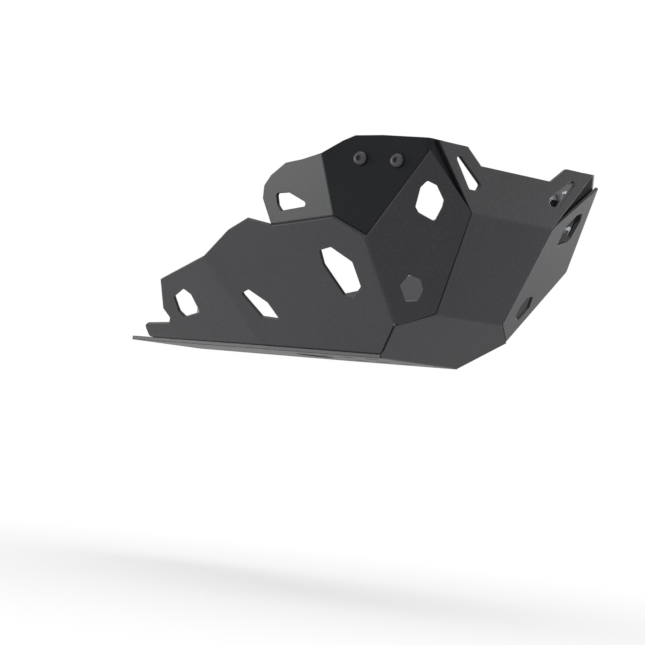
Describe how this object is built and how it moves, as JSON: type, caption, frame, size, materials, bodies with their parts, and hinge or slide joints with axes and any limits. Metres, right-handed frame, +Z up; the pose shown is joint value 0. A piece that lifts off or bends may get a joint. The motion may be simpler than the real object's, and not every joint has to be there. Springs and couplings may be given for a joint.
{
  "type": "motorcycle skid plate",
  "caption": "Motorcycle skid plate: open trough of folded, powder-coated aluminium sheet with a raised front, pierced sides, side wings and rubber-mounted frame brackets.",
  "frame": {"origin": "middle of the box round the part, at the underside of the floor", "axes": "+X towards the front wheel, +Y to the rider's left, +Z up"},
  "size_m": [0.514, 0.316, 0.206],
  "materials": {
    "coated_sheet": "matt anthracite powder coat with a fine texture, on aluminium sheet",
    "wing_coat": "satin black powder coat, smoother than that of the other sheets",
    "painted_steel": "satin black paint on steel",
    "black_screw": "dark burnished steel, slightly worn on the heads",
    "zinc_steel": "bright zinc plating",
    "aluminium_stud": "plain drawn aluminium",
    "rubber": "matt black rubber"
  },
  "bodies": {
    "root": {"centre_plate": "coated_sheet", "side_panel_right": "coated_sheet", "side_panel_left": "coated_sheet", "wing_right": "wing_coat", "wing_left": "wing_coat", "seam_strip_right": "coated_sheet", "seam_strip_left": "coated_sheet", "centre_studs": "aluminium_stud", "side_studs": "aluminium_stud", "stud_nuts": "zinc_steel", "floor_screws": "black_screw", "floor_nuts": "zinc_steel", "frame_bracket_right": "painted_steel", "frame_bracket_left": "painted_steel", "wing_screws": "black_screw", "wing_dampers": "rubber", "wing_sleeves": "zinc_steel", "bracket_nuts": "zinc_steel", "tail_bracket": "painted_steel", "tail_screws": "black_screw", "tail_dampers": "rubber", "tail_sleeves": "zinc_steel", "tail_nuts": "zinc_steel"}
  },
  "joints": []
}
